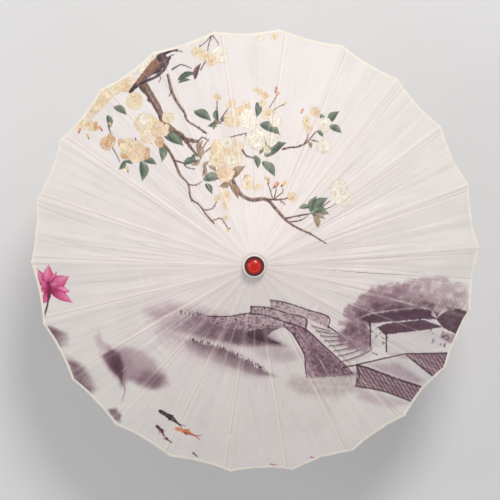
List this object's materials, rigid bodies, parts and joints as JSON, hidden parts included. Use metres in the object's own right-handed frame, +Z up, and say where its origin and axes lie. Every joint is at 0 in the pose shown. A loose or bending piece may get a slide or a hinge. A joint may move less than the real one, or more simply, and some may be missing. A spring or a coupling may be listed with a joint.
{
  "type": "oil paper umbrella",
  "caption": "Open oil paper umbrella with a shallow pleated paper canopy on hinged bamboo ribs, a sliding runner, a sprung catch, a straight wooden handle and a round red finial in a pale cup.",
  "frame": {"origin": "centre of the handle's flat bottom face, on the shaft's axis", "axes": "+Z up along the shaft towards the finial, +X along the first rib"},
  "size_m": [0.8224, 0.814, 0.548],
  "materials": {
    "shaft_bamboo": "varnished bamboo pole",
    "handle_wood": "turned and varnished wood",
    "cap_wood": "dark turned wood",
    "notch_wood": "turned wood, bare",
    "runner_wood": "turned wood, bare",
    "thread": "twisted cotton thread",
    "pin_bamboo": "bamboo peg",
    "pin_steel": "bright steel wire",
    "crown_cream": "cream enamel, satin",
    "bead_red": "glossy red lacquer",
    "screw_steel": "bright steel",
    "oiled_paper": "tung oiled mulberry paper, printed, translucent",
    "rim_cotton": "cream cotton binding",
    "catch_steel": "spring steel",
    "rib_bamboo": "split bamboo, bare",
    "stretcher_bamboo": "split bamboo, bare"
  },
  "bodies": {
    "shaft_frame": {"shaft": "shaft_bamboo", "handle": "handle_wood", "handle_cap": "cap_wood", "top_notch": "notch_wood", "notch_thread": "thread", "notch_pin": "pin_bamboo", "catch_pin": "pin_steel", "crown_cup": "crown_cream", "finial_bead": "bead_red", "finial_screw": "screw_steel", "canopy": "oiled_paper", "rim_binding": "rim_cotton"},
    "runner": {"runner": "runner_wood", "runner_thread": "thread"},
    "catch": {"catch_spring": "catch_steel"},
    "rib_01": {"rib_01": "rib_bamboo"},
    "stretcher_01": {"stretcher_01": "stretcher_bamboo"},
    "rib_02": {"rib_02": "rib_bamboo"},
    "stretcher_02": {"stretcher_02": "stretcher_bamboo"},
    "rib_03": {"rib_03": "rib_bamboo"},
    "stretcher_03": {"stretcher_03": "stretcher_bamboo"},
    "rib_04": {"rib_04": "rib_bamboo"},
    "stretcher_04": {"stretcher_04": "stretcher_bamboo"},
    "rib_05": {"rib_05": "rib_bamboo"},
    "stretcher_05": {"stretcher_05": "stretcher_bamboo"},
    "rib_06": {"rib_06": "rib_bamboo"},
    "stretcher_06": {"stretcher_06": "stretcher_bamboo"},
    "rib_07": {"rib_07": "rib_bamboo"},
    "stretcher_07": {"stretcher_07": "stretcher_bamboo"},
    "rib_08": {"rib_08": "rib_bamboo"},
    "stretcher_08": {"stretcher_08": "stretcher_bamboo"},
    "rib_09": {"rib_09": "rib_bamboo"},
    "stretcher_09": {"stretcher_09": "stretcher_bamboo"},
    "rib_10": {"rib_10": "rib_bamboo"},
    "stretcher_10": {"stretcher_10": "stretcher_bamboo"},
    "rib_11": {"rib_11": "rib_bamboo"},
    "stretcher_11": {"stretcher_11": "stretcher_bamboo"},
    "rib_12": {"rib_12": "rib_bamboo"},
    "stretcher_12": {"stretcher_12": "stretcher_bamboo"},
    "rib_13": {"rib_13": "rib_bamboo"},
    "stretcher_13": {"stretcher_13": "stretcher_bamboo"},
    "rib_14": {"rib_14": "rib_bamboo"},
    "stretcher_14": {"stretcher_14": "stretcher_bamboo"},
    "rib_15": {"rib_15": "rib_bamboo"},
    "stretcher_15": {"stretcher_15": "stretcher_bamboo"},
    "rib_16": {"rib_16": "rib_bamboo"},
    "stretcher_16": {"stretcher_16": "stretcher_bamboo"},
    "rib_17": {"rib_17": "rib_bamboo"},
    "stretcher_17": {"stretcher_17": "stretcher_bamboo"},
    "rib_18": {"rib_18": "rib_bamboo"},
    "stretcher_18": {"stretcher_18": "stretcher_bamboo"},
    "rib_19": {"rib_19": "rib_bamboo"},
    "stretcher_19": {"stretcher_19": "stretcher_bamboo"},
    "rib_20": {"rib_20": "rib_bamboo"},
    "stretcher_20": {"stretcher_20": "stretcher_bamboo"},
    "rib_21": {"rib_21": "rib_bamboo"},
    "stretcher_21": {"stretcher_21": "stretcher_bamboo"},
    "rib_22": {"rib_22": "rib_bamboo"},
    "stretcher_22": {"stretcher_22": "stretcher_bamboo"}
  },
  "joints": [
    {"name": "runner_slide", "type": "slide", "parent": "shaft_frame", "child": "runner", "axis": [0, 0, -1], "range_m": [0, 0.2498], "deforming": ["canopy", "rim_binding", "runner_thread", "catch_spring"]},
    {"name": "catch_press", "type": "hinge", "parent": "shaft_frame", "child": "catch", "pos_m": [0, 0, 0.30173], "axis": [0.1423, -0.9898, 0], "range_deg": [0, 4], "stiffness_Nm_per_rad": 2, "springref_deg": -1.15},
    {"name": "rib_01_fold", "type": "hinge", "parent": "shaft_frame", "child": "rib_01", "pos_m": [0.014, 0, 0.52], "axis": [0, 1, 0], "range_deg": [0, 68]},
    {"name": "stretcher_01_fold", "type": "hinge", "parent": "rib_01", "child": "stretcher_01", "pos_m": [0.19254, 0, 0.45502], "axis": [0, 1, 0], "range_deg": [-136, 0]},
    {"name": "rib_02_fold", "type": "hinge", "parent": "shaft_frame", "child": "rib_02", "pos_m": [0.01343, 0.00394, 0.52], "axis": [-0.2817, 0.9595, 0], "range_deg": [0, 68]},
    {"name": "stretcher_02_fold", "type": "hinge", "parent": "rib_02", "child": "stretcher_02", "pos_m": [0.18474, 0.05425, 0.45502], "axis": [-0.2817, 0.9595, 0], "range_deg": [-136, 0]},
    {"name": "rib_03_fold", "type": "hinge", "parent": "shaft_frame", "child": "rib_03", "pos_m": [0.01178, 0.00757, 0.52], "axis": [-0.5406, 0.8413, 0], "range_deg": [0, 68]},
    {"name": "stretcher_03_fold", "type": "hinge", "parent": "rib_03", "child": "stretcher_03", "pos_m": [0.16198, 0.1041, 0.45502], "axis": [-0.5406, 0.8413, 0], "range_deg": [-136, 0]},
    {"name": "rib_04_fold", "type": "hinge", "parent": "shaft_frame", "child": "rib_04", "pos_m": [0.00917, 0.01058, 0.52], "axis": [-0.7557, 0.6549, 0], "range_deg": [0, 68]},
    {"name": "stretcher_04_fold", "type": "hinge", "parent": "rib_04", "child": "stretcher_04", "pos_m": [0.12609, 0.14551, 0.45502], "axis": [-0.7557, 0.6549, 0], "range_deg": [-136, 0]},
    {"name": "rib_05_fold", "type": "hinge", "parent": "shaft_frame", "child": "rib_05", "pos_m": [0.00582, 0.01273, 0.52], "axis": [-0.9096, 0.4154, 0], "range_deg": [0, 68]},
    {"name": "stretcher_05_fold", "type": "hinge", "parent": "rib_05", "child": "stretcher_05", "pos_m": [0.07998, 0.17514, 0.45502], "axis": [-0.9096, 0.4154, 0], "range_deg": [-136, 0]},
    {"name": "rib_06_fold", "type": "hinge", "parent": "shaft_frame", "child": "rib_06", "pos_m": [0.00199, 0.01386, 0.52], "axis": [-0.9898, 0.1423, 0], "range_deg": [0, 68]},
    {"name": "stretcher_06_fold", "type": "hinge", "parent": "rib_06", "child": "stretcher_06", "pos_m": [0.0274, 0.19058, 0.45502], "axis": [-0.9898, 0.1423, 0], "range_deg": [-136, 0]},
    {"name": "rib_07_fold", "type": "hinge", "parent": "shaft_frame", "child": "rib_07", "pos_m": [-0.00199, 0.01386, 0.52], "axis": [-0.9898, -0.1423, 0], "range_deg": [0, 68]},
    {"name": "stretcher_07_fold", "type": "hinge", "parent": "rib_07", "child": "stretcher_07", "pos_m": [-0.0274, 0.19058, 0.45502], "axis": [-0.9898, -0.1423, 0], "range_deg": [-136, 0]},
    {"name": "rib_08_fold", "type": "hinge", "parent": "shaft_frame", "child": "rib_08", "pos_m": [-0.00582, 0.01273, 0.52], "axis": [-0.9096, -0.4154, 0], "range_deg": [0, 68]},
    {"name": "stretcher_08_fold", "type": "hinge", "parent": "rib_08", "child": "stretcher_08", "pos_m": [-0.07998, 0.17514, 0.45502], "axis": [-0.9096, -0.4154, 0], "range_deg": [-136, 0]},
    {"name": "rib_09_fold", "type": "hinge", "parent": "shaft_frame", "child": "rib_09", "pos_m": [-0.00917, 0.01058, 0.52], "axis": [-0.7557, -0.6549, 0], "range_deg": [0, 68]},
    {"name": "stretcher_09_fold", "type": "hinge", "parent": "rib_09", "child": "stretcher_09", "pos_m": [-0.12609, 0.14551, 0.45502], "axis": [-0.7557, -0.6549, 0], "range_deg": [-136, 0]},
    {"name": "rib_10_fold", "type": "hinge", "parent": "shaft_frame", "child": "rib_10", "pos_m": [-0.01178, 0.00757, 0.52], "axis": [-0.5406, -0.8413, 0], "range_deg": [0, 68]},
    {"name": "stretcher_10_fold", "type": "hinge", "parent": "rib_10", "child": "stretcher_10", "pos_m": [-0.16198, 0.1041, 0.45502], "axis": [-0.5406, -0.8413, 0], "range_deg": [-136, 0]},
    {"name": "rib_11_fold", "type": "hinge", "parent": "shaft_frame", "child": "rib_11", "pos_m": [-0.01343, 0.00394, 0.52], "axis": [-0.2817, -0.9595, 0], "range_deg": [0, 68]},
    {"name": "stretcher_11_fold", "type": "hinge", "parent": "rib_11", "child": "stretcher_11", "pos_m": [-0.18474, 0.05425, 0.45502], "axis": [-0.2817, -0.9595, 0], "range_deg": [-136, 0]},
    {"name": "rib_12_fold", "type": "hinge", "parent": "shaft_frame", "child": "rib_12", "pos_m": [-0.014, 0, 0.52], "axis": [0, -1, 0], "range_deg": [0, 68]},
    {"name": "stretcher_12_fold", "type": "hinge", "parent": "rib_12", "child": "stretcher_12", "pos_m": [-0.19254, 0, 0.45502], "axis": [0, -1, 0], "range_deg": [-136, 0]},
    {"name": "rib_13_fold", "type": "hinge", "parent": "shaft_frame", "child": "rib_13", "pos_m": [-0.01343, -0.00394, 0.52], "axis": [0.2817, -0.9595, 0], "range_deg": [0, 68]},
    {"name": "stretcher_13_fold", "type": "hinge", "parent": "rib_13", "child": "stretcher_13", "pos_m": [-0.18474, -0.05425, 0.45502], "axis": [0.2817, -0.9595, 0], "range_deg": [-136, 0]},
    {"name": "rib_14_fold", "type": "hinge", "parent": "shaft_frame", "child": "rib_14", "pos_m": [-0.01178, -0.00757, 0.52], "axis": [0.5406, -0.8413, 0], "range_deg": [0, 68]},
    {"name": "stretcher_14_fold", "type": "hinge", "parent": "rib_14", "child": "stretcher_14", "pos_m": [-0.16198, -0.1041, 0.45502], "axis": [0.5406, -0.8413, 0], "range_deg": [-136, 0]},
    {"name": "rib_15_fold", "type": "hinge", "parent": "shaft_frame", "child": "rib_15", "pos_m": [-0.00917, -0.01058, 0.52], "axis": [0.7557, -0.6549, 0], "range_deg": [0, 68]},
    {"name": "stretcher_15_fold", "type": "hinge", "parent": "rib_15", "child": "stretcher_15", "pos_m": [-0.12609, -0.14551, 0.45502], "axis": [0.7557, -0.6549, 0], "range_deg": [-136, 0]},
    {"name": "rib_16_fold", "type": "hinge", "parent": "shaft_frame", "child": "rib_16", "pos_m": [-0.00582, -0.01273, 0.52], "axis": [0.9096, -0.4154, 0], "range_deg": [0, 68]},
    {"name": "stretcher_16_fold", "type": "hinge", "parent": "rib_16", "child": "stretcher_16", "pos_m": [-0.07998, -0.17514, 0.45502], "axis": [0.9096, -0.4154, 0], "range_deg": [-136, 0]},
    {"name": "rib_17_fold", "type": "hinge", "parent": "shaft_frame", "child": "rib_17", "pos_m": [-0.00199, -0.01386, 0.52], "axis": [0.9898, -0.1423, 0], "range_deg": [0, 68]},
    {"name": "stretcher_17_fold", "type": "hinge", "parent": "rib_17", "child": "stretcher_17", "pos_m": [-0.0274, -0.19058, 0.45502], "axis": [0.9898, -0.1423, 0], "range_deg": [-136, 0]},
    {"name": "rib_18_fold", "type": "hinge", "parent": "shaft_frame", "child": "rib_18", "pos_m": [0.00199, -0.01386, 0.52], "axis": [0.9898, 0.1423, 0], "range_deg": [0, 68]},
    {"name": "stretcher_18_fold", "type": "hinge", "parent": "rib_18", "child": "stretcher_18", "pos_m": [0.0274, -0.19058, 0.45502], "axis": [0.9898, 0.1423, 0], "range_deg": [-136, 0]},
    {"name": "rib_19_fold", "type": "hinge", "parent": "shaft_frame", "child": "rib_19", "pos_m": [0.00582, -0.01273, 0.52], "axis": [0.9096, 0.4154, 0], "range_deg": [0, 68]},
    {"name": "stretcher_19_fold", "type": "hinge", "parent": "rib_19", "child": "stretcher_19", "pos_m": [0.07998, -0.17514, 0.45502], "axis": [0.9096, 0.4154, 0], "range_deg": [-136, 0]},
    {"name": "rib_20_fold", "type": "hinge", "parent": "shaft_frame", "child": "rib_20", "pos_m": [0.00917, -0.01058, 0.52], "axis": [0.7557, 0.6549, 0], "range_deg": [0, 68]},
    {"name": "stretcher_20_fold", "type": "hinge", "parent": "rib_20", "child": "stretcher_20", "pos_m": [0.12609, -0.14551, 0.45502], "axis": [0.7557, 0.6549, 0], "range_deg": [-136, 0]},
    {"name": "rib_21_fold", "type": "hinge", "parent": "shaft_frame", "child": "rib_21", "pos_m": [0.01178, -0.00757, 0.52], "axis": [0.5406, 0.8413, 0], "range_deg": [0, 68]},
    {"name": "stretcher_21_fold", "type": "hinge", "parent": "rib_21", "child": "stretcher_21", "pos_m": [0.16198, -0.1041, 0.45502], "axis": [0.5406, 0.8413, 0], "range_deg": [-136, 0]},
    {"name": "rib_22_fold", "type": "hinge", "parent": "shaft_frame", "child": "rib_22", "pos_m": [0.01343, -0.00394, 0.52], "axis": [0.2817, 0.9595, 0], "range_deg": [0, 68]},
    {"name": "stretcher_22_fold", "type": "hinge", "parent": "rib_22", "child": "stretcher_22", "pos_m": [0.18474, -0.05425, 0.45502], "axis": [0.2817, 0.9595, 0], "range_deg": [-136, 0]}
  ],
  "couplings": [
    {"joint": "rib_01_fold", "follows": "runner_slide", "rad_per_m": 4.7511},
    {"joint": "stretcher_01_fold", "follows": "runner_slide", "rad_per_m": -9.5022},
    {"joint": "rib_02_fold", "follows": "runner_slide", "rad_per_m": 4.7511},
    {"joint": "stretcher_02_fold", "follows": "runner_slide", "rad_per_m": -9.5022},
    {"joint": "rib_03_fold", "follows": "runner_slide", "rad_per_m": 4.7511},
    {"joint": "stretcher_03_fold", "follows": "runner_slide", "rad_per_m": -9.5022},
    {"joint": "rib_04_fold", "follows": "runner_slide", "rad_per_m": 4.7511},
    {"joint": "stretcher_04_fold", "follows": "runner_slide", "rad_per_m": -9.5022},
    {"joint": "rib_05_fold", "follows": "runner_slide", "rad_per_m": 4.7511},
    {"joint": "stretcher_05_fold", "follows": "runner_slide", "rad_per_m": -9.5022},
    {"joint": "rib_06_fold", "follows": "runner_slide", "rad_per_m": 4.7511},
    {"joint": "stretcher_06_fold", "follows": "runner_slide", "rad_per_m": -9.5022},
    {"joint": "rib_07_fold", "follows": "runner_slide", "rad_per_m": 4.7511},
    {"joint": "stretcher_07_fold", "follows": "runner_slide", "rad_per_m": -9.5022},
    {"joint": "rib_08_fold", "follows": "runner_slide", "rad_per_m": 4.7511},
    {"joint": "stretcher_08_fold", "follows": "runner_slide", "rad_per_m": -9.5022},
    {"joint": "rib_09_fold", "follows": "runner_slide", "rad_per_m": 4.7511},
    {"joint": "stretcher_09_fold", "follows": "runner_slide", "rad_per_m": -9.5022},
    {"joint": "rib_10_fold", "follows": "runner_slide", "rad_per_m": 4.7511},
    {"joint": "stretcher_10_fold", "follows": "runner_slide", "rad_per_m": -9.5022},
    {"joint": "rib_11_fold", "follows": "runner_slide", "rad_per_m": 4.7511},
    {"joint": "stretcher_11_fold", "follows": "runner_slide", "rad_per_m": -9.5022},
    {"joint": "rib_12_fold", "follows": "runner_slide", "rad_per_m": 4.7511},
    {"joint": "stretcher_12_fold", "follows": "runner_slide", "rad_per_m": -9.5022},
    {"joint": "rib_13_fold", "follows": "runner_slide", "rad_per_m": 4.7511},
    {"joint": "stretcher_13_fold", "follows": "runner_slide", "rad_per_m": -9.5022},
    {"joint": "rib_14_fold", "follows": "runner_slide", "rad_per_m": 4.7511},
    {"joint": "stretcher_14_fold", "follows": "runner_slide", "rad_per_m": -9.5022},
    {"joint": "rib_15_fold", "follows": "runner_slide", "rad_per_m": 4.7511},
    {"joint": "stretcher_15_fold", "follows": "runner_slide", "rad_per_m": -9.5022},
    {"joint": "rib_16_fold", "follows": "runner_slide", "rad_per_m": 4.7511},
    {"joint": "stretcher_16_fold", "follows": "runner_slide", "rad_per_m": -9.5022},
    {"joint": "rib_17_fold", "follows": "runner_slide", "rad_per_m": 4.7511},
    {"joint": "stretcher_17_fold", "follows": "runner_slide", "rad_per_m": -9.5022},
    {"joint": "rib_18_fold", "follows": "runner_slide", "rad_per_m": 4.7511},
    {"joint": "stretcher_18_fold", "follows": "runner_slide", "rad_per_m": -9.5022},
    {"joint": "rib_19_fold", "follows": "runner_slide", "rad_per_m": 4.7511},
    {"joint": "stretcher_19_fold", "follows": "runner_slide", "rad_per_m": -9.5022},
    {"joint": "rib_20_fold", "follows": "runner_slide", "rad_per_m": 4.7511},
    {"joint": "stretcher_20_fold", "follows": "runner_slide", "rad_per_m": -9.5022},
    {"joint": "rib_21_fold", "follows": "runner_slide", "rad_per_m": 4.7511},
    {"joint": "stretcher_21_fold", "follows": "runner_slide", "rad_per_m": -9.5022},
    {"joint": "rib_22_fold", "follows": "runner_slide", "rad_per_m": 4.7511},
    {"joint": "stretcher_22_fold", "follows": "runner_slide", "rad_per_m": -9.5022}
  ]
}
